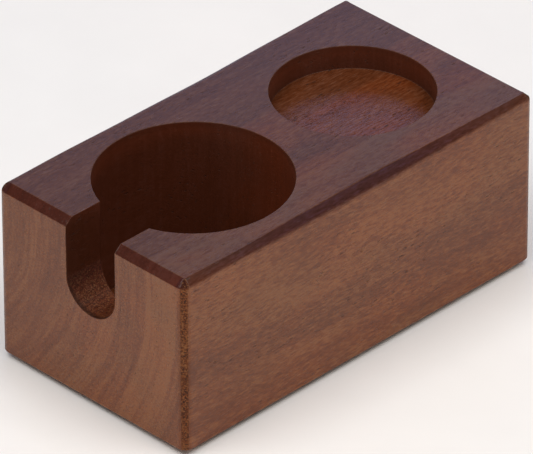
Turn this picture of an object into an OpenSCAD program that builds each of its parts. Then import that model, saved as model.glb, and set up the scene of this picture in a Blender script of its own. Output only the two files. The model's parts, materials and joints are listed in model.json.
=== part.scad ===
// Tamping station: a solid hardwood block that parks a portafilter and a tamper.
// The portafilter drops into the deep pocket with its neck in the slot, and the
// tamper stands in the shallow recess. The block stands on four silicone feet.
//
// Frame: +Z up, origin on the bench under the middle of the block.
// The block is longest along Y, and its slotted end faces -Y.

/* [Block] */
// Length of the block, along Y
block_l = 173.5; // [165:0.5:200]
// Width of the block, along X
block_w = 92; // [88:0.5:110]
// Height of the block itself, without its feet
block_h = 70; // [64:0.5:80]
// Radius of the four upright corners
corner_r = 3.5; // [3.2:0.1:8]
// How far the chamfer round the top runs in from the sides
chamfer_run = 3; // [1:0.1:3]
// How far the chamfer round the top drops below the top face
chamfer_drop = 2.6; // [1:0.1:4]
// Small break on the bottom edges
base_break = 0.7; // [0.3:0.1:1.5]

/* [Portafilter pocket] */
// Diameter of the pocket, for a 58 mm class portafilter
pocket_d = 71.3; // [66:0.1:74]
// Wood left under the pocket
pocket_floor = 10; // [6:0.5:16]
// Distance of the pocket's axis from the slotted end face
pocket_from_end = 50.25; // [45:0.25:55]
// Small break on the rims of the pocket and the recess
rim_break = 0.4; // [0.2:0.1:1]

/* [Neck slot] */
// Width of the slot, and diameter of its round bottom
slot_w = 24.1; // [18:0.1:30]
// Depth of the slot below the top face
slot_depth = 34.1; // [20:0.1:45]

/* [Tamper recess] */
// Diameter of the recess, for a 58 mm class tamper
recess_d = 59.5; // [50:0.1:62]
// Depth of the recess below the top face
recess_depth = 9.5; // [5:0.5:15]
// Distance of the recess's axis from the plain end face
recess_from_end = 44.25; // [38:0.25:50]

/* [Feet] */
// Diameter of a foot
foot_d = 15; // [10:0.5:20]
// Thickness of a foot's silicone
foot_h = 1.8; // [1:0.1:3]
// Rounding of a foot's lower edge
foot_edge_r = 0.8; // [0.2:0.1:0.9]
// Thickness of the adhesive film that holds a foot
film_h = 0.2; // [0.1:0.05:0.4]
// Distance of a foot's centre from the two nearest sides
foot_inset = 15; // [12:0.5:20]

/* [Hidden] */
$fn = 128;
// How far a cutter runs past the face that it opens
overrun = 1;
stand_h = foot_h + film_h;
block_top = stand_h + block_h;
pocket_y = pocket_from_end - block_l / 2;
recess_y = block_l / 2 - recess_from_end;
pocket_bottom = stand_h + pocket_floor;
slot_axis_z = block_top - slot_depth + slot_w / 2;

// Each foot's place: its name, its side along X and its end along Y
FEET = [
    ["front_left", -1, -1],
    ["front_right", 1, -1],
    ["rear_left", -1, 1],
    ["rear_right", 1, 1],
];

// A beam along X whose ends in Y lean in by inset0 at its foot and inset1 at its head
module leaning_beam(length, width, height, inset0, inset1) {
    rotate([90, 0, 90])
        translate([0, 0, -length / 2])
            linear_extrude(length)
                polygon([
                    [inset0 - width / 2, 0],
                    [width / 2 - inset0, 0],
                    [width / 2 - inset1, height],
                    [inset1 - width / 2, height],
                ]);
}

// One layer of the block from z0 to z1, drawn in by inset0 at its foot and inset1 at its head
module block_layer(z0, z1, inset0, inset1) {
    height = z1 - z0;
    straight_l = block_l - 2 * corner_r;
    straight_w = block_w - 2 * corner_r;
    translate([0, 0, z0]) {
        leaning_beam(straight_w, block_l, height, inset0, inset1);
        rotate([0, 0, 90])
            leaning_beam(straight_l, block_w, height, inset0, inset1);
        for (x = [-straight_w / 2, straight_w / 2], y = [-straight_l / 2, straight_l / 2])
            translate([x, y, 0])
                cylinder(h = height, r1 = corner_r - inset0, r2 = corner_r - inset1);
    }
}

// The block's outside: a rounded prism with a chamfer round its top and a break round its base
module block_outside() {
    block_layer(stand_h, stand_h + base_break, base_break, 0);
    block_layer(stand_h + base_break, block_top - chamfer_drop, 0, 0);
    block_layer(block_top - chamfer_drop, block_top, 0, chamfer_run);
}

// A round blind hole from z = bottom up through the top face, with a break on its rim
module round_pocket(y, diameter, bottom) {
    translate([0, y, bottom])
        cylinder(h = block_top - bottom + overrun, d = diameter);
    translate([0, y, block_top - rim_break])
        cylinder(
            h = rim_break + overrun,
            r1 = diameter / 2,
            r2 = diameter / 2 + rim_break + overrun
        );
}

// The round-bottomed slot from the end face into the pocket
module neck_slot() {
    run = pocket_from_end + overrun;
    translate([0, pocket_y - run, 0]) {
        translate([-slot_w / 2, 0, slot_axis_z])
            cube([slot_w, run, block_top - slot_axis_z + overrun]);
        translate([0, 0, slot_axis_z])
            rotate([-90, 0, 0])
                cylinder(h = run, d = slot_w);
    }
}

module holder_block() {
    color("saddlebrown")
        difference() {
            block_outside();
            round_pocket(pocket_y, pocket_d, pocket_bottom);
            round_pocket(recess_y, recess_d, block_top - recess_depth);
            neck_slot();
        }
}

// Puts its children under one corner of the block
module at_foot(f) {
    translate([
        f[1] * (block_w / 2 - foot_inset),
        f[2] * (block_l / 2 - foot_inset),
        0,
    ])
        children();
}

// A silicone disc with a rounded lower edge
module foot(f) {
    flat_r = foot_d / 2 - foot_edge_r;
    color("dimgray")
        at_foot(f)
            rotate_extrude() {
                translate([0, foot_edge_r])
                    square([foot_d / 2, foot_h - foot_edge_r]);
                square([flat_r, foot_edge_r]);
                translate([flat_r, foot_edge_r])
                    intersection() {
                        circle(r = foot_edge_r);
                        translate([0, -foot_edge_r])
                            square(foot_edge_r);
                    }
            }
}

// The film of adhesive between a foot and the underside of the block
module adhesive_film(f) {
    color("gainsboro")
        at_foot(f)
            translate([0, 0, foot_h])
                cylinder(h = film_h, d = foot_d);
}

holder_block();
for (f = FEET) {
    foot(f);
    adhesive_film(f);
}
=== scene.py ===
import json
import math
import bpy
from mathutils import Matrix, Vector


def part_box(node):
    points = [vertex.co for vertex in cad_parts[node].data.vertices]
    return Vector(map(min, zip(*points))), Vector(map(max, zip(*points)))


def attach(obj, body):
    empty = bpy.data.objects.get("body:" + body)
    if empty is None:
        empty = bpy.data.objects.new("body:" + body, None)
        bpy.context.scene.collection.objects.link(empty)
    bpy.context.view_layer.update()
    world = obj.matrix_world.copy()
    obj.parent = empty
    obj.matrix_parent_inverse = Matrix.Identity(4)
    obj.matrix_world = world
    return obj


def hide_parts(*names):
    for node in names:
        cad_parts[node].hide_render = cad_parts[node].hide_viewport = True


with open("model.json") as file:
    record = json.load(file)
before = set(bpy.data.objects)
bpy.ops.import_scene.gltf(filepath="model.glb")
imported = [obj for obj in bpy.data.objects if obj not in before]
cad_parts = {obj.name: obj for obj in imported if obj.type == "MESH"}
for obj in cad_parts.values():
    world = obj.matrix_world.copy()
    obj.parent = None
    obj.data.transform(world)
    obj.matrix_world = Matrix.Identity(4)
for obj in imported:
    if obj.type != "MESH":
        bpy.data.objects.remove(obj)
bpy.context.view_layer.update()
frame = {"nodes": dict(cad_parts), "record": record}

from types import SimpleNamespace

import bmesh
import bpy
from mathutils import Matrix, Vector

# A tamping station: one stained hardwood block with a portafilter pocket, a neck slot and a
# tamper recess, on four silicone feet. Metres throughout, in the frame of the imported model.
# Only the patterns inside the materials are laid out in millimetres.

MM = 0.001

# ---------------------------------------------------------------- driving dimensions

MOUNTS = {m["name"]: m for m in frame["record"]["mounts"]}
BLOCK_LOW, BLOCK_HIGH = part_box("holder_block")

CORNER_R = 3.5 * MM          # upright corners
CHAMFER_RUN = 3.0 * MM       # chamfer round the top, measured in from the sides
CHAMFER_DROP = 2.6 * MM      # and down from the top face
BASE_BREAK = 0.7 * MM        # sanded edge round the underside
TOP_ARRIS_R = 0.6 * MM       # where the chamfer meets the top face
END_ARRIS_R = 0.7 * MM       # where the chamfer meets an end face
SIDE_ARRIS_R = 4.4 * MM      # where the chamfer meets a long side, sanded softer than the ends
SIDE_BROW_R = 2.8 * MM       # where a long side's chamfer meets the top face, at its most sanded
SIDE_CHAMFER_ENDS = 0.72     # share of its size left of a long side's chamfer at the corners
SLOT_W = 24.1 * MM
SLOT_DEPTH = 34.1 * MM
CUT_BREAK = 0.25 * MM        # sanded edge of the pocket, the recess and the slot
FLOOR_FILLET = 0.2 * MM      # left by the cutter between a floor and its wall


def round_hole(mount):
    """A round blind hole on the centre line: how far along, its radius and its floor's height."""
    m = MOUNTS[mount]
    _, y, z = m["pos_m"]
    return SimpleNamespace(
        y=y,
        r=m["dims"]["r_mm"] * MM,
        floor=z - m["dims"]["length_mm"] * MM,
    )


POCKET = round_hole("portafilter_pocket")
RECESS = round_hole("tamper_recess")
TOP_Z, BASE_Z = BLOCK_HIGH.z, BLOCK_LOW.z
HALF_W, HALF_L = BLOCK_HIGH.x, BLOCK_HIGH.y
SLOT_R = SLOT_W / 2
SLOT_AXIS_Z = TOP_Z - SLOT_DEPTH + SLOT_R

# ---------------------------------------------------------------- mesh helpers

SAME_POINT = 1e-7            # points closer than this are one point


def new_piece(name, bm, material):
    """Makes an object from a bmesh, smooth shaded, with normals that follow its large faces."""
    mesh = bpy.data.meshes.new(name)
    bm.to_mesh(mesh)
    bm.free()
    mesh.shade_smooth()
    mesh.materials.append(material)
    piece = bpy.data.objects.new(name, mesh)
    bpy.context.scene.collection.objects.link(piece)
    normals = piece.modifiers.new("even_normals", "WEIGHTED_NORMAL")
    normals.mode = "FACE_AREA"
    normals.weight = 100
    normals.keep_sharp = False
    return piece


def evenly(start, end, steps):
    """Evenly spaced numbers from start to end, both included."""
    return [start + (end - start) * i / steps for i in range(steps + 1)]


def spread(start, end, gap):
    """Evenly spaced numbers about gap apart from start to end, end left out."""
    return evenly(start, end, max(1, round(abs(end - start) / gap)))[:-1]


def arc(centre, radius, start, end, steps):
    """Points on an arc in a plane, both ends included. Angles in degrees."""
    angles = [math.radians(a) for a in evenly(start, end, steps)]
    return [(centre[0] + radius * math.cos(a), centre[1] + radius * math.sin(a)) for a in angles]


def rounded_corner(before, corner, after, radius, steps):
    """The points of an arc that rounds the corner of a polyline."""
    corner = Vector(corner)
    to_before = (Vector(before) - corner).normalized()
    to_after = (Vector(after) - corner).normalized()
    half = to_before.angle(to_after) / 2
    centre = corner + (to_before + to_after).normalized() * (radius / math.sin(half))
    start = corner + to_before * (radius / math.tan(half)) - centre
    end = corner + to_after * (radius / math.tan(half)) - centre
    turn = start.angle_signed(end)
    return [tuple(centre + Matrix.Rotation(-a, 2) @ start) for a in evenly(0, turn, steps)]


class Shell:
    """Faces that are joined wherever they share a point."""

    def __init__(self):
        self.bm = bmesh.new()
        self.known = {}

    def vert(self, place):
        key = tuple(round(c / SAME_POINT) for c in place)
        if key not in self.known:
            self.known[key] = self.bm.verts.new(place)
        return self.known[key]

    def face(self, places):
        """Adds a face, unless its points run together into a line."""
        verts = []
        for vert in map(self.vert, places):
            if vert not in verts:
                verts.append(vert)
        if len(verts) > 2:
            self.bm.faces.new(verts)

    def closed(self):
        """The finished bmesh, with its faces turned outwards."""
        bmesh.ops.remove_doubles(self.bm, verts=self.bm.verts, dist=SAME_POINT)
        bmesh.ops.recalc_face_normals(self.bm, faces=self.bm.faces)
        return self.bm


# ---------------------------------------------------------------- the block's outside

PERIMETER_GAP = 4 * MM       # between columns along the straight sides
CORNER_STEPS = 8             # columns round an upright corner
BASE_STEPS = 2               # in each half of the rounding at the base
SIDE_ARRIS_STEPS = 6
TOP_ARRIS_STEPS = 4
ANKLE_ROW = 2 * BASE_STEPS + 1      # the last row of the rounding at the base


def sanding(y):
    """How hard the edge of a long side was sanded at y, from 0 to 1: most in the middle."""
    slow = 0.5 + 0.5 * math.cos(math.pi * y / HALF_L)
    return 0.75 * slow + 0.15 * math.sin(61 * y + 0.8) + 0.1 * math.sin(137 * y)


def side_profile(arris_r, brow_r, chamfer):
    """Inset and height up the outside of the block, from the base to the top face.

    chamfer is the share of its full size that the chamfer has here."""
    foot = (BASE_BREAK, BASE_Z)
    ankle = (0, BASE_Z + BASE_BREAK)
    shoulder = (0, TOP_Z - CHAMFER_DROP * chamfer)
    brow = (CHAMFER_RUN * chamfer, TOP_Z)
    under = (HALF_W, BASE_Z)
    inside = (HALF_W, TOP_Z)
    return [
        *rounded_corner(under, foot, ankle, 0.5 * BASE_BREAK, BASE_STEPS),
        *rounded_corner(foot, ankle, shoulder, 0.5 * BASE_BREAK, BASE_STEPS),
        *rounded_corner(ankle, shoulder, brow, arris_r, SIDE_ARRIS_STEPS),
        *rounded_corner(shoulder, brow, inside, brow_r, TOP_ARRIS_STEPS),
    ]


class Column:
    """A line up the outside of the block, over one point of its perimeter."""

    def __init__(self, centre, normal, under_slot=False):
        self.centre = Vector(centre)     # CORNER_R inside the outer face
        self.normal = Vector(normal)
        self.under_slot = under_slot

    def points(self):
        """The outside's profile here: hand sanded along the sides, crisp along the ends."""
        sanded = sanding(self.centre.y)
        sideways = self.normal.x**2
        side_arris_r = SIDE_ARRIS_R * (0.8 + 0.4 * sanded)
        side_chamfer = SIDE_CHAMFER_ENDS + (1 - SIDE_CHAMFER_ENDS) * sanded
        profile = side_profile(
            END_ARRIS_R + (side_arris_r - END_ARRIS_R) * sideways,
            TOP_ARRIS_R + (SIDE_BROW_R - TOP_ARRIS_R) * sideways * sanded,
            1 + (side_chamfer - 1) * sideways,
        )
        places = []
        for inset, z in profile:
            p = self.centre + self.normal * (CORNER_R - inset)
            places.append((p.x, p.y, z))
        return places


def straight_columns(points, normal):
    """Columns along a flat side of the block."""
    return [Column(p, normal) for p in points]


def corner_columns(centre, start):
    """Columns round an upright corner, over a quarter turn from start, in degrees."""
    angles = [math.radians(start + 90 * i / CORNER_STEPS) for i in range(CORNER_STEPS)]
    return [Column(centre, (math.cos(a), math.sin(a))) for a in angles]


def perimeter():
    """Columns from the slot's +X edge round to its -X edge, then across under the slot."""
    cx, cy = HALF_W - CORNER_R, HALF_L - CORNER_R
    front, right, rear, left = (0, -1), (1, 0), (0, 1), (-1, 0)
    gap = PERIMETER_GAP
    return [
        *straight_columns([(x, -cy) for x in spread(SLOT_R, cx, gap)], front),
        *corner_columns((cx, -cy), -90),
        *straight_columns([(cx, y) for y in spread(-cy, cy, gap)], right),
        *corner_columns((cx, cy), 0),
        *straight_columns([(x, cy) for x in spread(cx, 0, gap)], rear),
        *straight_columns([(x, cy) for x in spread(0, -cx, gap)], rear),
        *corner_columns((-cx, cy), 90),
        *straight_columns([(-cx, y) for y in spread(cy, -cy, gap)], left),
        *corner_columns((-cx, -cy), 180),
        *straight_columns([(x, -cy) for x in spread(-cx, -SLOT_R, gap)], front),
        *[Column((x, -cy), front, True) for x in slot_xs()[:0:-1]],
    ]


def add_outside(shell, columns, rows):
    """The outer faces: whole height beside the slot, and up to the slot's edge under it.

    A face beside the slot has an extra point where the slot's wall turns into its bottom."""
    for i, column in enumerate(columns):
        j = (i + 1) % len(columns)
        a, b = rows[i], rows[j]
        top_row = ANKLE_ROW if column.under_slot else len(a) - 1
        for row in range(top_row):
            quad = [a[row], b[row], b[row + 1], a[row + 1]]
            if row == ANKLE_ROW and i == 0:
                quad.append((SLOT_R, -HALF_L, SLOT_AXIS_Z))
            if row == ANKLE_ROW and columns[j].under_slot:
                quad.insert(2, (-SLOT_R, -HALF_L, SLOT_AXIS_Z))
            shell.face(quad)
        if column.under_slot:
            edge = [(p[0], -HALF_L, slot_z(p[0])) for p in (b[0], a[0])]
            shell.face([a[ANKLE_ROW], b[ANKLE_ROW], *edge])
    underside = [row[0] for row in reversed(rows)]
    shell.face(underside)


# ---------------------------------------------------------------- the block's cuts

SLOT_STEPS = 40              # round the slot's half circle
HOLE_STEPS = 160             # round the recess, and round the pocket from wall to wall of the slot


def slot_xs():
    """Where the lines along the slot's round bottom lie, from +X to -X."""
    return [SLOT_R * math.cos(math.pi * i / SLOT_STEPS) for i in range(SLOT_STEPS + 1)]


def slot_z(x):
    """Height of the slot's round bottom at x."""
    return SLOT_AXIS_Z - math.sqrt(max(0.0, SLOT_R**2 - x**2))


def wall_point(hole, angle, z):
    """A point on a round hole's wall. The angle is in radians from +X."""
    return (hole.r * math.cos(angle), hole.y + hole.r * math.sin(angle), z)


def add_slot(shell, mouth, right_profile, left_profile):
    """The slot, and the pocket's wall below it. mouth holds the angles where they meet."""
    xs = slot_xs()
    for x0, x1, a0, a1 in zip(xs, xs[1:], mouth, mouth[1:]):
        low0 = wall_point(POCKET, a0, POCKET.floor)
        low1 = wall_point(POCKET, a1, POCKET.floor)
        in0 = wall_point(POCKET, a0, slot_z(x0))
        in1 = wall_point(POCKET, a1, slot_z(x1))
        shell.face([(x0, -HALF_L, slot_z(x0)), in0, in1, (x1, -HALF_L, slot_z(x1))])
        shell.face([low0, low1, in1, in0])
    for profile, angle in ((right_profile, mouth[0]), (left_profile, mouth[-1])):
        shell.face([
            (profile[0][0], -HALF_L, SLOT_AXIS_Z),
            *profile[ANKLE_ROW + 1:],
            wall_point(POCKET, angle, TOP_Z),
            wall_point(POCKET, angle, SLOT_AXIS_Z),
        ])


def hole_wall(hole, a0, a1):
    """The corners of a strip of a hole's wall, floor first."""
    low = [wall_point(hole, a, hole.floor) for a in (a0, a1)]
    high = [wall_point(hole, a, TOP_Z) for a in (a1, a0)]
    return low + high


def add_pocket(shell, mouth, right, left):
    """The pocket's wall beside the slot, in two halves, and its floor.

    The first and last strips have an extra point where the slot's wall turns into its bottom."""
    for half in (right, left):
        for a0, a1 in zip(half, half[1:]):
            strip = hole_wall(POCKET, a0, a1)
            if a0 == mouth[0]:
                strip.append(wall_point(POCKET, mouth[0], SLOT_AXIS_Z))
            if half is left and a1 == left[-1]:
                strip.insert(2, wall_point(POCKET, mouth[-1], SLOT_AXIS_Z))
            shell.face(strip)
    below_slot = [a + 2 * math.pi for a in reversed(mouth)][1:-1]
    angles = right[:-1] + left + below_slot
    shell.face([wall_point(POCKET, a, POCKET.floor) for a in angles])


def add_recess(shell, ring):
    """The tamper recess's wall and floor. ring holds the angles of its points."""
    for a0, a1 in zip(ring, ring[1:]):
        shell.face(hole_wall(RECESS, a0, a1))
    shell.face([wall_point(RECESS, a, RECESS.floor) for a in ring[:-1]])


def add_top(shell, outline, right, left, ring):
    """The top face, in two halves that meet on the centre line."""
    def from_rear_middle(i):
        return abs(outline[i][0]) + abs(outline[i][1] - HALF_L)

    rear = min(range(len(outline)), key=from_rear_middle)
    half_ring = HOLE_STEPS // 2
    shell.face([
        *outline[: rear + 1],
        *[wall_point(RECESS, a, TOP_Z) for a in reversed(ring[: half_ring + 1])],
        *[wall_point(POCKET, a, TOP_Z) for a in reversed(right)],
    ])
    shell.face([
        *outline[rear:],
        *[wall_point(POCKET, a, TOP_Z) for a in reversed(left)],
        *[wall_point(RECESS, a, TOP_Z) for a in reversed(ring[half_ring:])],
    ])


def block_mesh():
    """The block as one closed surface, with its cuts still sharp edged."""
    columns = perimeter()
    rows = [column.points() for column in columns]
    beside = [row for row, column in zip(rows, columns) if not column.under_slot]
    left_of_slot = rows[len(beside)]
    mouth = [math.atan2(-math.sqrt(POCKET.r**2 - x**2), x) for x in slot_xs()]
    right = evenly(mouth[0], math.pi / 2, HOLE_STEPS // 2)
    left = evenly(math.pi / 2, mouth[-1] + 2 * math.pi, HOLE_STEPS // 2)
    ring = evenly(-math.pi / 2, 1.5 * math.pi, HOLE_STEPS)
    shell = Shell()
    add_outside(shell, columns, rows)
    add_slot(shell, mouth, rows[0], left_of_slot)
    add_pocket(shell, mouth, right, left)
    add_recess(shell, ring)
    add_top(shell, [row[-1] for row in (*beside, left_of_slot)], right, left, ring)
    return shell.closed()


SHARP_ANGLE = math.radians(50)      # the chamfer's own edges are blunter than this


def bevel(bm, edges, offset):
    """Rounds edges with an arc of three steps."""
    bmesh.ops.bevel(
        bm, geom=edges, offset=offset, offset_type="OFFSET", segments=3, profile=0.5,
        affect="EDGES", clamp_overlap=False,
    )


def soften_cuts(bm):
    """Breaks the cuts' sharp edges, and fills the corners between their floors and walls."""
    def signed_angle(edge):
        return edge.calc_face_angle_signed() if len(edge.link_faces) == 2 else 0.0

    bevel(bm, [e for e in bm.edges if signed_angle(e) > SHARP_ANGLE], CUT_BREAK)
    bevel(bm, [e for e in bm.edges if -signed_angle(e) > SHARP_ANGLE], FLOOR_FILLET)


# ---------------------------------------------------------------- shader helpers


class Shader:
    """Adds nodes to one material and links them, so that a pattern reads as a formula."""

    def __init__(self, name):
        self.material = bpy.data.materials.new(name)
        self.material.use_nodes = True
        self.tree = self.material.node_tree
        self.bsdf = self.tree.nodes["Principled BSDF"]

    def add(self, kind, **settings):
        node = self.tree.nodes.new("ShaderNode" + kind)
        for key, value in settings.items():
            setattr(node, key, value)
        return node

    def feed(self, socket, value):
        if isinstance(value, bpy.types.NodeSocket):
            self.tree.links.new(value, socket)
        else:
            socket.default_value = value

    def feed_all(self, node, values):
        """Feeds a node's inputs in order, and gives its first output."""
        for socket, value in zip(node.inputs, values):
            self.feed(socket, value)
        return node.outputs[0]

    def maths(self, operation, *values):
        return self.feed_all(self.add("Math", operation=operation), values)

    def vector(self, operation, *values):
        return self.feed_all(self.add("VectorMath", operation=operation), values)

    def split(self, vector):
        node = self.add("SeparateXYZ")
        self.feed(node.inputs[0], vector)
        return node.outputs[:3]

    def combine(self, *values):
        return self.feed_all(self.add("CombineXYZ"), values)

    def millimetres(self):
        """The point being shaded, in the row frame, in millimetres."""
        node = self.add("TexCoord")
        return self.vector("MULTIPLY", node.outputs["Object"], (1 / MM,) * 3)

    def normal(self):
        return self.split(self.add("NewGeometry").outputs["Normal"])

    def noise(self, place, size, detail=2.0, rough=0.5, output="Fac"):
        """Smooth noise from 0 to 1 whose features are about size wide along each axis."""
        node = self.add("TexNoise")
        self.feed(node.inputs["Vector"], self.vector("DIVIDE", place, size))
        node.inputs["Scale"].default_value = 1.0
        node.inputs["Detail"].default_value = detail
        node.inputs["Roughness"].default_value = rough
        return node.outputs[output]

    def cells(self, place, size):
        """Distance to the nearest of scattered points that are about size apart."""
        node = self.add("TexVoronoi", feature="F1")
        self.feed(node.inputs["Vector"], self.vector("DIVIDE", place, size))
        node.inputs["Scale"].default_value = 1.0
        return node.outputs["Distance"]

    def ease(self, value, low, high, out_low=0.0, out_high=1.0):
        """A smooth step from out_low at low to out_high at high."""
        node = self.add("MapRange", interpolation_type="SMOOTHSTEP")
        return self.feed_all(node, (value, low, high, out_low, out_high))

    def ease_off(self, value, low, high):
        """A smooth step down, from 1 at low to 0 at high."""
        return self.ease(value, low, high, 1.0, 0.0)

    def ramp(self, value, *stops):
        node = self.add("ValToRGB")
        self.feed(node.inputs[0], value)
        elements = node.color_ramp.elements
        while len(elements) < len(stops):
            elements.new(0.5)
        for element, (at, colour) in zip(elements, stops):
            element.position = at
            element.color = (*colour, 1)
        return node.outputs[0]

    def mix(self, blend, factor, under, over):
        node = self.add("Mix", data_type="RGBA", blend_type=blend)
        self.feed(node.inputs[0], factor)
        self.feed(node.inputs[6], under)
        self.feed(node.inputs[7], over if isinstance(over, bpy.types.NodeSocket) else (*over, 1))
        return node.outputs[2]

    def cover(self, colour, share, over):
        """Covers a share of a colour with another one."""
        return self.mix("MIX", share, colour, over)

    def tint(self, colour, share, by):
        """Multiplies a colour by a tint, fully where share is 1."""
        return self.mix("MULTIPLY", share, colour, by)

    def absolute(self, value):
        return self.maths("ABSOLUTE", value)

    def opposite(self, mask):
        return self.maths("SUBTRACT", 1.0, mask)

    def off_middle(self, pattern):
        """A pattern round 0.5 moved to lie round 0."""
        return self.maths("SUBTRACT", pattern, 0.5)

    def product(self, *values):
        out = values[0]
        for value in values[1:]:
            out = self.maths("MULTIPLY", out, value)
        return out

    def largest(self, *values):
        out = values[0]
        for value in values[1:]:
            out = self.maths("MAXIMUM", out, value)
        return out

    def plus(self, base, *terms):
        """The base plus each pattern times its weight."""
        for pattern, weight in terms:
            base = self.maths("MULTIPLY_ADD", pattern, weight, base)
        return base

    def bump(self, height, depth):
        node = self.add("Bump")
        node.inputs["Strength"].default_value = 1.0
        node.inputs["Distance"].default_value = depth
        self.feed(node.inputs["Height"], height)
        self.feed(self.bsdf.inputs["Normal"], node.outputs[0])

    def gloss(self, level):
        self.bsdf.inputs["Specular IOR Level"].default_value = level

    def finish(self, colour, rough):
        self.feed(self.bsdf.inputs["Base Color"], colour)
        self.feed(self.bsdf.inputs["Roughness"], rough)
        return self.material


# ---------------------------------------------------------------- how the wood grew

# All in millimetres
PITH = (-86.0, 60.0)         # x and z of the tree's centre line, beside the block
RING_WANDER = 7              # how far the rings stray from circles
PALE_RING = (113.0, 125.0)   # a band of paler growth, by distance from the pith
PALE_RING_START = 0.7        # half the width over which it starts
PALE_RING_FADE = 9           # and the width over which it ends
HEART_RING = 76.0            # inside this distance the wood is duller
HEART_EDGE = 1.2             # half the width over which that changes


def growth_place(s, point):
    """The shaded point as (distance from the pith, way round it, way along the tree)."""
    stray = s.noise(point, (60, 260, 60), 2, output="Color")
    stray = s.vector("SUBTRACT", stray, (0.5, 0.5, 0.5))
    x, y, z = s.split(s.vector("MULTIPLY_ADD", stray, (RING_WANDER, 0, RING_WANDER), point))
    across = s.maths("SUBTRACT", x, PITH[0])
    up = s.maths("SUBTRACT", z, PITH[1])
    squares = s.maths("ADD", s.product(across, across), s.product(up, up))
    radius = s.maths("SQRT", squares)
    way_round = s.product(s.maths("ARCTAN2", up, across), 100.0)
    return s.combine(radius, way_round, y), radius


def open_pores(s, point, rings):
    """Vessels cut open: many fine ones and, in patches, some long dark ones. 1 in a pore."""
    patches = s.noise(rings, (6, 40, 60), 2)
    fine = s.ease_off(s.cells(point, (0.8, 4.5, 0.8)), 0.12, 0.30)
    long_ones = s.ease_off(s.cells(point, (1.9, 6.5, 1.9)), 0.10, 0.19)
    fine = s.product(fine, s.ease(patches, 0.35, 0.65, 0.2, 0.6))
    long_ones = s.product(long_ones, s.ease(patches, 0.45, 0.6, 0.25, 1.0))
    return s.largest(fine, long_ones)


def wood_grain(s, point):
    """The wood before stain: rings, fibres, pores, heartwood, and a tone of about 0.5."""
    rings, radius = growth_place(s, point)
    fibres = s.noise(point, (0.7, 3.8, 0.7), 2, 0.6)
    patterns = (
        (s.noise(rings, (16, 150, 400), 2), 0.28),           # broad bands of growth
        (s.noise(rings, (2.4, 60, 200), 2), 0.50),           # the rings
        (s.noise(rings, (0.9, 16, 60), 1), 0.50),            # and their fine lines
        (s.noise(rings, (5.0, 0.9, 3.0), 1), 0.20),          # rays out from the pith
        (s.noise(point, (2.2, 9.0, 2.2), 2), 0.25),          # bundles of fibres
        (fibres, 0.85),                                      # short fibres
        (s.noise(point, (0.6, 3.0, 0.6), 1), 1.00),          # single fibres
        (s.noise(point, (11, 24, 11), 3, 0.55), 0.18),       # patches
    )
    tone = s.plus(0.5, *[(s.off_middle(pattern), weight) for pattern, weight in patterns])
    start, end = PALE_RING
    pale = s.product(
        s.ease(radius, start - PALE_RING_START, start + PALE_RING_START),
        s.ease_off(radius, end, end + PALE_RING_FADE),
    )
    heart = s.ease_off(radius, HEART_RING - HEART_EDGE, HEART_RING + HEART_EDGE)
    return SimpleNamespace(
        rings=rings,
        fibres=fibres,
        pores=open_pores(s, point, rings),
        heart=heart,
        tone=s.plus(tone, (pale, 0.19), (heart, -0.04)),
    )


# ---------------------------------------------------------------- how the block was cut

# Where a mask fades out, in millimetres
SIDE_REACH = (4.1, 4.4)      # in from a long side, just past its chamfer
END_REACH = (3.1, 3.4)       # in from an end, just past its chamfer
SLOT_EDGE = (12.0, 12.4)     # either side of the slot's middle
SLOT_RUN = (-70, -69)        # y at which the slot has run into the pocket
BELOW_TOP = (-6, -4)         # height over the top face of what counts as a deeper cut
END_ZONE = (25, 88)          # from the block's middle, towards its ends


def kinds_of_cut(s, point):
    """Masks from 0 to 1 that say which kind of cut the shaded point is on."""
    px, py, pz = s.split(point)
    nx, ny, nz = s.normal()
    from_side = s.maths("SUBTRACT", HALF_W / MM, s.absolute(px))
    from_end = s.maths("SUBTRACT", HALF_L / MM, s.absolute(py))

    # The outside
    side = s.ease_off(from_side, *SIDE_REACH)
    end = s.product(s.ease_off(from_end, *END_REACH), s.ease(s.absolute(ny), 0.2, 0.5))
    outer = s.largest(side, end)
    upright = s.product(outer, s.ease_off(s.absolute(nz), 0.1, 0.5))
    chamfer = s.product(outer, s.ease(nz, 0.0, 0.6), s.ease_off(nz, 0.95, 0.998))

    # The top face and the cuts in it
    within = s.opposite(outer)
    level = s.ease(nz, 0.6, 0.9)
    bored = s.product(s.ease_off(nz, 0.35, 0.75), within)
    fillet = s.product(within, s.ease(nz, 0.05, 0.2), s.ease_off(nz, 0.8, 0.95))
    slot_floor = s.product(
        s.ease_off(s.absolute(px), *SLOT_EDGE),
        s.ease_off(py, *SLOT_RUN),
        s.ease(nz, 0.0, 0.25),
    )
    deep = s.ease_off(pz, *[TOP_Z / MM + height for height in BELOW_TOP])
    routed = s.product(level, deep, s.opposite(slot_floor))

    # The upright corners and their tips face between the sides and the ends, so the fibres
    # were cut at a slant there and tore. The slot's round bottom was left nearly as rough.
    skew = s.absolute(s.product(nx, ny))
    tips = s.product(chamfer, s.ease(skew, 0.05, 0.15))
    oblique = s.largest(s.product(s.ease(skew, 0.2, 0.46), upright), s.product(tips, 0.7))
    return SimpleNamespace(
        side=side,
        end=end,
        upright=upright,
        chamfer=chamfer,
        level=level,
        bored=bored,
        fillet=fillet,
        slot_floor=slot_floor,
        routed=routed,
        tips=tips,
        oblique=oblique,
        torn=s.largest(oblique, s.product(slot_floor, 0.7)),
        near_ends=s.ease(s.absolute(py), *END_ZONE),
    )
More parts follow.
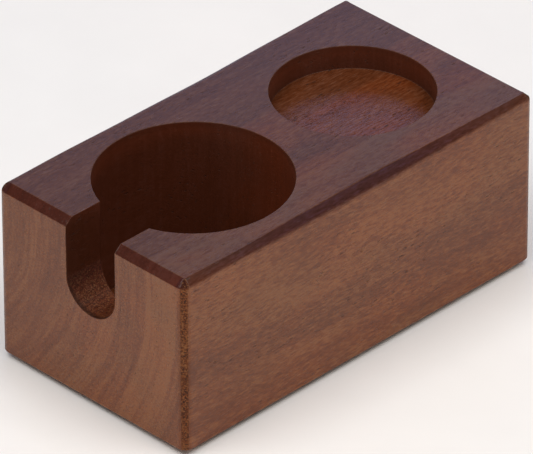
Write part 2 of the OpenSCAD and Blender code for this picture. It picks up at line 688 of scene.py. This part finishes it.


# ---------------------------------------------------------------- how the wood was stained, and where light and shade are painted on it

# Linear colours of the stain where the wood took little of it, an ordinary amount and a lot
STAIN_PALE = (0.112, 0.0445, 0.0200)
STAIN_MIDDLE = (0.085, 0.0258, 0.0076)
STAIN_DEEP = (0.060, 0.0160, 0.0035)
# The pores' colour, also used for the painted shade in the cuts
PORE_AND_SHADE_COLOUR = (0.022, 0.0065, 0.0025)
STAIN_TORN = (0.170, 0.0820, 0.0340)     # on torn fibres

# How far its hue wanders from patch to patch
COOL_TINT = (0.88, 0.99, 1.20)
WARM_TINT = (1.12, 1.00, 0.80)

# What each kind of cut does to that colour
# Painted light: the outer faces are made lighter and warmer than the top
UPRIGHT_PAINTED_LIGHT = (1.55, 1.42, 0.90)    # the four outer faces
BORED_TINT = (1.03, 0.79, 1.10)      # the walls of the pocket, the recess and the slot
ROUTED_TINT = (1.30, 1.05, 0.95)     # level cuts below the top
OBLIQUE_TINT = (0.96, 0.93, 0.82)    # the upright corners
SLOT_FLOOR_TINT = (1.18, 0.83, 0.80)
# Painted shade: both chamfers are darkened, and the long sides' chamfers also get a bluish painted
# reflection
SIDE_CHAMFER_PAINTED_SHADE = (0.50, 0.50, 1.55)
END_CHAMFER_PAINTED_SHADE = (0.58, 0.34, 0.42)

POLISHED = 0.37              # specular level of the polished wood
UNPOLISHED = 0.18            # and of the upright corners and the slot's round bottom
WOOD_RELIEF = 0.14 * MM


def stained_tone(s, point, grain, cut):
    """How pale the wood is under its stain, with painted shade towards the ends of the long sides.
    The polished top and the bored walls are even.
    """
    contrast = s.plus(1.35, (cut.bored, -0.95), (cut.level, -0.20), (cut.chamfer, -0.4))
    end_rings = s.off_middle(s.noise(grain.rings, (1.8, 60, 200), 2))
    streaks = s.off_middle(s.noise(point, (1.6, 1.6, 40), 2))
    return s.plus(
        s.plus(0.5, (s.off_middle(grain.tone), contrast)),
        (s.product(end_rings, cut.end), 0.8),
        (s.product(streaks, cut.bored), 0.35),
        # painted shade: the long sides darker towards the ends
        (s.product(cut.near_ends, cut.side), -0.07),
    )


def stain_hue(s, point, grain):
    """A tint that leans to red or grey from patch to patch, and to grey in the heartwood."""
    lean = s.ease(s.noise(point, (20, 45, 20), 2), 0.35, 0.65)
    lean = s.product(lean, s.plus(1.0, (grain.heart, -0.8)))
    return s.ramp(lean, (0.0, COOL_TINT), (1.0, WARM_TINT))


def stain_colour(s, point, grain, cut):
    """The stain's colour on each kind of cut, with painted light on the outer faces and painted
    shade on the chamfers, before specks, pores and painted shade in the cuts.
    """
    tone = stained_tone(s, point, grain, cut)
    colour = s.ramp(tone, (0.15, STAIN_DEEP), (0.50, STAIN_MIDDLE), (0.85, STAIN_PALE))
    colour = s.tint(colour, s.plus(0.4, (cut.level, 0.6)), stain_hue(s, point, grain))
    # Painted shade and painted bluish reflection on the long sides' chamfers, weaker towards the
    # ends
    side_chamfer_shade = s.product(cut.chamfer, cut.side, s.plus(1.0, (cut.near_ends, -0.5)))
    # Painted light on the four outer faces
    colour = s.tint(colour, cut.upright, UPRIGHT_PAINTED_LIGHT)
    colour = s.tint(colour, cut.bored, BORED_TINT)
    colour = s.tint(colour, cut.routed, ROUTED_TINT)
    colour = s.tint(colour, side_chamfer_shade, SIDE_CHAMFER_PAINTED_SHADE)
    # Painted shade on the ends' chamfers
    colour = s.tint(colour, s.product(cut.chamfer, cut.end), END_CHAMFER_PAINTED_SHADE)
    colour = s.tint(colour, cut.oblique, OBLIQUE_TINT)
    return s.tint(colour, cut.slot_floor, SLOT_FLOOR_TINT)


def specked(s, colour, specks, cut):
    """Adds the rough pale and dark specks of torn fibres."""
    pale = s.product(s.ease(specks, 0.55, 0.64), cut.torn)
    dark = s.product(s.ease_off(specks, 0.42, 0.50), cut.torn)
    return s.cover(s.cover(colour, pale, STAIN_TORN), dark, PORE_AND_SHADE_COLOUR)


def painted_shade_in_cuts(s, point, cut):
    """Painted shade: where the cuts are darkened under the rims, in the slot's mouth and at the
    foot of the walls.

    The rows of the list are the rims, the slot's bottom, its walls, and the walls' feet."""
    px, py, pz = s.split(point)
    top, front = TOP_Z / MM, -HALF_L / MM
    neck_edge = SLOT_R / MM
    neck = s.ease_off(s.absolute(px), neck_edge + 0.3, neck_edge + 0.7)
    return s.largest(
        s.product(cut.bored, s.ease(pz, top - 3.5, top - 1.0, 0, 0.35)),
        s.product(cut.slot_floor, s.ease(py, front + 0.8, front + 2.2, 0.7, 0)),
        s.product(cut.bored, neck, s.ease(py, front, front + 26, 0.55, 0.1)),
        s.product(cut.fillet, s.plus(0.5, (cut.slot_floor, -0.5))),
    )


def wood_roughness(s, point, grain, cut):
    """Polished along the chamfer, duller in the bores and pores, raw where fibres tore."""
    wear = s.noise(point, (9, 25, 9), 3)
    raw = s.largest(grain.pores, cut.torn, s.product(cut.tips, 3.0), s.product(cut.fillet, 2.0))
    return s.plus(0.21, (wear, 0.10), (cut.bored, 0.1), (cut.chamfer, -0.07), (raw, 0.25))


def wood_height(s, grain, cut, specks):
    """Raised fibres, sunken pores and torn specks, most of it sanded off the chamfer."""
    fibre_height = s.plus(0.5, (cut.bored, -0.4), (cut.routed, 1.2), (cut.level, -0.3))
    pore_height = s.plus(-0.6, (cut.routed, -0.4), (cut.level, 0.4))
    height = s.plus(s.product(grain.pores, pore_height), (grain.fibres, fibre_height))
    height = s.product(height, s.plus(1.0, (cut.chamfer, -0.85)))
    rugged = s.plus(cut.torn, (cut.slot_floor, 1.2))
    return s.plus(height, (s.product(specks, rugged), 0.8))


def stained_wood(name, gloss):
    """The block's stained hardwood, with a specular level to suit how well it was polished."""
    s = Shader(name)
    point = s.millimetres()
    grain = wood_grain(s, point)
    cut = kinds_of_cut(s, point)
    specks = s.noise(point, (0.6, 0.6, 0.6), 2, 0.7)
    colour = specked(s, stain_colour(s, point, grain, cut), specks, cut)
    in_pores = s.product(grain.pores, s.plus(0.55, (cut.routed, 0.35)))
    colour = s.cover(colour, in_pores, PORE_AND_SHADE_COLOUR)
    # Painted shade in the cuts, in the pores' dark colour
    colour = s.cover(colour, painted_shade_in_cuts(s, point, cut), PORE_AND_SHADE_COLOUR)
    s.bump(wood_height(s, grain, cut, specks), WOOD_RELIEF)
    s.gloss(gloss)
    return s.finish(colour, wood_roughness(s, point, grain, cut))


# ---------------------------------------------------------------- silicone, film and floor

FINE_RELIEF = 0.01 * MM
SILICONE_BARE = (0.014, 0.014, 0.015)
SILICONE_DUSTY = (0.050, 0.048, 0.046)
FILM_CLEAR = (0.50, 0.49, 0.45)
FILM_HAZY = (0.66, 0.65, 0.61)
FLOOR_DARKER = (0.850, 0.857, 0.868)
FLOOR_LIGHTER = (0.870, 0.877, 0.888)


def black_silicone():
    s = Shader("black_silicone")
    point = s.millimetres()
    dust = s.noise(point, (2.5, 2.5, 2.5), 4, 0.65)
    skin = s.noise(point, (0.12, 0.12, 0.12), 2)
    s.bump(skin, FINE_RELIEF)
    colour = s.ramp(dust, (0.35, SILICONE_BARE), (0.75, SILICONE_DUSTY))
    return s.finish(colour, s.plus(0.5, (dust, 0.25)))


def adhesive():
    s = Shader("adhesive_film")
    haze = s.noise(s.millimetres(), (1.2, 1.2, 1.2), 3)
    s.bump(haze, FINE_RELIEF)
    colour = s.ramp(haze, (0.3, FILM_CLEAR), (0.7, FILM_HAZY))
    return s.finish(colour, s.plus(0.25, (haze, 0.2)))


def pale_floor():
    s = Shader("pale_floor")
    grain = s.noise(s.millimetres(), (35, 35, 35), 3)
    s.gloss(0.2)
    colour = s.ramp(grain, (0.3, FLOOR_DARKER), (0.7, FLOOR_LIGHTER))
    return s.finish(colour, s.plus(0.7, (grain, 0.1)))


# ---------------------------------------------------------------- the feet

FOOT_EDGE_R = 0.8 * MM       # round the underside
FOOT_BACK_R = 0.2 * MM       # round the back, against the adhesive
FOOT_CROWN = 0.12 * MM       # rise of the underside towards a shallow groove inside its rim
FOOT_RINGS = (0.25, 0.5, 0.7, 0.85, 0.95)    # of the underside, as shares of its flat radius
FOOT_EDGE_START = -78        # degrees, just past the lowest point of the edge's circle
FOOT_STEPS = 64


def foot_mesh(node):
    """A moulded disc: a crowned underside with a shallow groove, and a rounded lower edge."""
    low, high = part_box(node)
    cx, cy = (low.x + high.x) / 2, (low.y + high.y) / 2
    r = (high.x - low.x) / 2
    flat_r = r - FOOT_EDGE_R
    outline = [(0, low.z)]
    outline += [(flat_r * t, low.z + FOOT_CROWN * t**4) for t in FOOT_RINGS]
    outline += arc((flat_r, low.z + FOOT_EDGE_R), FOOT_EDGE_R, FOOT_EDGE_START, 0, 8)
    outline += arc((r - FOOT_BACK_R, high.z - FOOT_BACK_R), FOOT_BACK_R, 0, 90, 3)
    outline += [(0, high.z)]
    bm = bmesh.new()
    verts = [bm.verts.new((cx + d, cy, z)) for d, z in outline]
    for a, b in zip(verts, verts[1:]):
        bm.edges.new((a, b))
    bmesh.ops.spin(
        bm, geom=[*bm.verts, *bm.edges], cent=(cx, cy, 0), axis=(0, 0, 1),
        angle=2 * math.pi, steps=FOOT_STEPS, use_merge=True, use_duplicate=False,
    )
    bmesh.ops.remove_doubles(bm, verts=bm.verts, dist=SAME_POINT)
    bmesh.ops.recalc_face_normals(bm, faces=bm.faces)
    return bm


# ---------------------------------------------------------------- making the pieces

CORNER_ZONE = 4 * MM         # an upright corner lies this close to both faces beside it
CORNER_SKEW = 0.3            # least |nx * ny| of a face on an upright corner
TIP_SKEW = 0.09              # and of one on its tip, which leans to the top


def unpolished(face):
    """Whether a face is on an upright corner, up to its tip, or in the slot's round bottom."""
    x, y, z = face.center
    nx, ny, nz = face.normal
    in_slot = abs(x) < SLOT_R and y < POCKET.y and z < SLOT_AXIS_Z and nz > 0.05
    at_corner = abs(x) > HALF_W - CORNER_ZONE and abs(y) > HALF_L - CORNER_ZONE
    least_skew = TIP_SKEW if nz > 0.2 else CORNER_SKEW
    return in_slot or (at_corner and nz < 0.95 and abs(nx * ny) > least_skew)


def make_block():
    bm = block_mesh()
    soften_cuts(bm)
    piece = new_piece("wooden_block", bm, stained_wood("stained_wood", POLISHED))
    piece.data.materials.append(stained_wood("unpolished_wood", UNPOLISHED))
    for face in piece.data.polygons:
        face.material_index = int(unpolished(face))
    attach(piece, "root")
    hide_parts("holder_block")


def make_feet():
    silicone, film = black_silicone(), adhesive()
    for place in ("front_left", "front_right", "rear_left", "rear_right"):
        piece = new_piece("silicone_foot_" + place, foot_mesh("foot_" + place), silicone)
        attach(piece, "root")
        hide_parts("foot_" + place)
        sheet = frame["nodes"]["adhesive_film_" + place]
        sheet.data.materials.clear()
        sheet.data.materials.append(film)


# ---------------------------------------------------------------- floor, lights and camera

FLOOR_HALF_W = 8.0


def make_floor():
    bm = bmesh.new()
    bmesh.ops.create_grid(bm, x_segments=8, y_segments=8, size=FLOOR_HALF_W)
    mesh = bpy.data.meshes.new("floor")
    bm.to_mesh(mesh)
    bm.free()
    mesh.materials.append(pale_floor())
    floor = bpy.data.objects.new("floor", mesh)
    bpy.context.scene.collection.objects.link(floor)


WHITE = (1.0, 1.0, 1.0)
KEY_TINT = (1.0, 0.97, 0.92)
LEFT_TINT = (1.0, 0.92, 0.86)
RIGHT_TINT = (1.0, 0.80, 0.65)
LOW_TINT = (1.0, 0.62, 0.40)
BACK_TINT = (0.38, 0.51, 0.98)
WORLD_TINT = (1.0, 0.95, 0.95)
WORLD_STRENGTH = 0.2


def softbox(name, azimuth, elevation, distance, width, height, radiance, tint):
    """An area light that looks at the block. Radiance is what a mirror would show of it.

    Azimuth is in degrees from the slot end, towards +X, and elevation is over the bench."""
    light = bpy.data.lights.new(name, "AREA")
    light.shape = "RECTANGLE"
    light.size, light.size_y = width, height
    light.color = tint
    light.energy = radiance * math.pi * width * height
    lamp = bpy.data.objects.new(name, light)
    a, e = math.radians(azimuth), math.radians(elevation)
    back = Vector((math.sin(a) * math.cos(e), -math.cos(a) * math.cos(e), math.sin(e)))
    lamp.location = Vector((0, 0, TOP_Z / 2)) + back * distance
    lamp.rotation_euler = (-back).to_track_quat("-Z", "Y").to_euler()
    lamp.visible_camera = False
    bpy.context.scene.collection.objects.link(lamp)


def make_lights():
    softbox("key", 45, 65, 1.6, 1.3, 1.3, 0.8, KEY_TINT)
    softbox("left_key", -15, 58, 1.6, 0.7, 0.7, 5.9, KEY_TINT)
    softbox("right_key", 105, 58, 1.6, 0.7, 0.7, 5.9, KEY_TINT)
    softbox("ceiling", 0, 90, 1.6, 1.2, 1.2, 1.0, WHITE)
    softbox("left_strip", -80, 6, 1.4, 0.5, 0.26, 8.0, LEFT_TINT)
    softbox("right_strip", 170, 6, 1.4, 0.5, 0.26, 8.0, RIGHT_TINT)
    softbox("front_strip", -5, 5, 1.4, 0.5, 0.24, 12.0, LOW_TINT)
    softbox("side_strip", 95, 5, 1.4, 0.5, 0.24, 13.0, LOW_TINT)
    softbox("back_panel", 225, 24, 1.7, 1.1, 0.5, 1.55, BACK_TINT)
    world = bpy.data.worlds.new("studio")
    world.use_nodes = True
    background = world.node_tree.nodes["Background"]
    background.inputs["Color"].default_value = (*WORLD_TINT, 1)
    background.inputs["Strength"].default_value = WORLD_STRENGTH
    bpy.context.scene.world = world


CAMERA_PLACE = Vector((1.8990, -1.9006, 1.7910))
CAMERA_TARGET = Vector((0.0003, -0.0010, 0.0349))
CAMERA_ROLL = -0.18          # degrees
CAMERA_LENS = 616.3          # millimetres
CAMERA_SENSOR = 36.0         # millimetres across


def make_camera():
    data = bpy.data.cameras.new("camera")
    data.lens = CAMERA_LENS
    data.sensor_width = CAMERA_SENSOR
    data.clip_start, data.clip_end = 0.05, 60.0
    camera = bpy.data.objects.new("camera", data)
    camera.location = CAMERA_PLACE
    look = (CAMERA_TARGET - CAMERA_PLACE).to_track_quat("-Z", "Y").to_matrix()
    roll = Matrix.Rotation(math.radians(CAMERA_ROLL), 3, "Z")
    camera.rotation_euler = (look @ roll).to_euler()
    bpy.context.scene.collection.objects.link(camera)
    bpy.context.scene.camera = camera


make_block()
make_feet()
make_floor()
make_lights()
make_camera()
bpy.context.scene.view_settings.view_transform = "Standard"
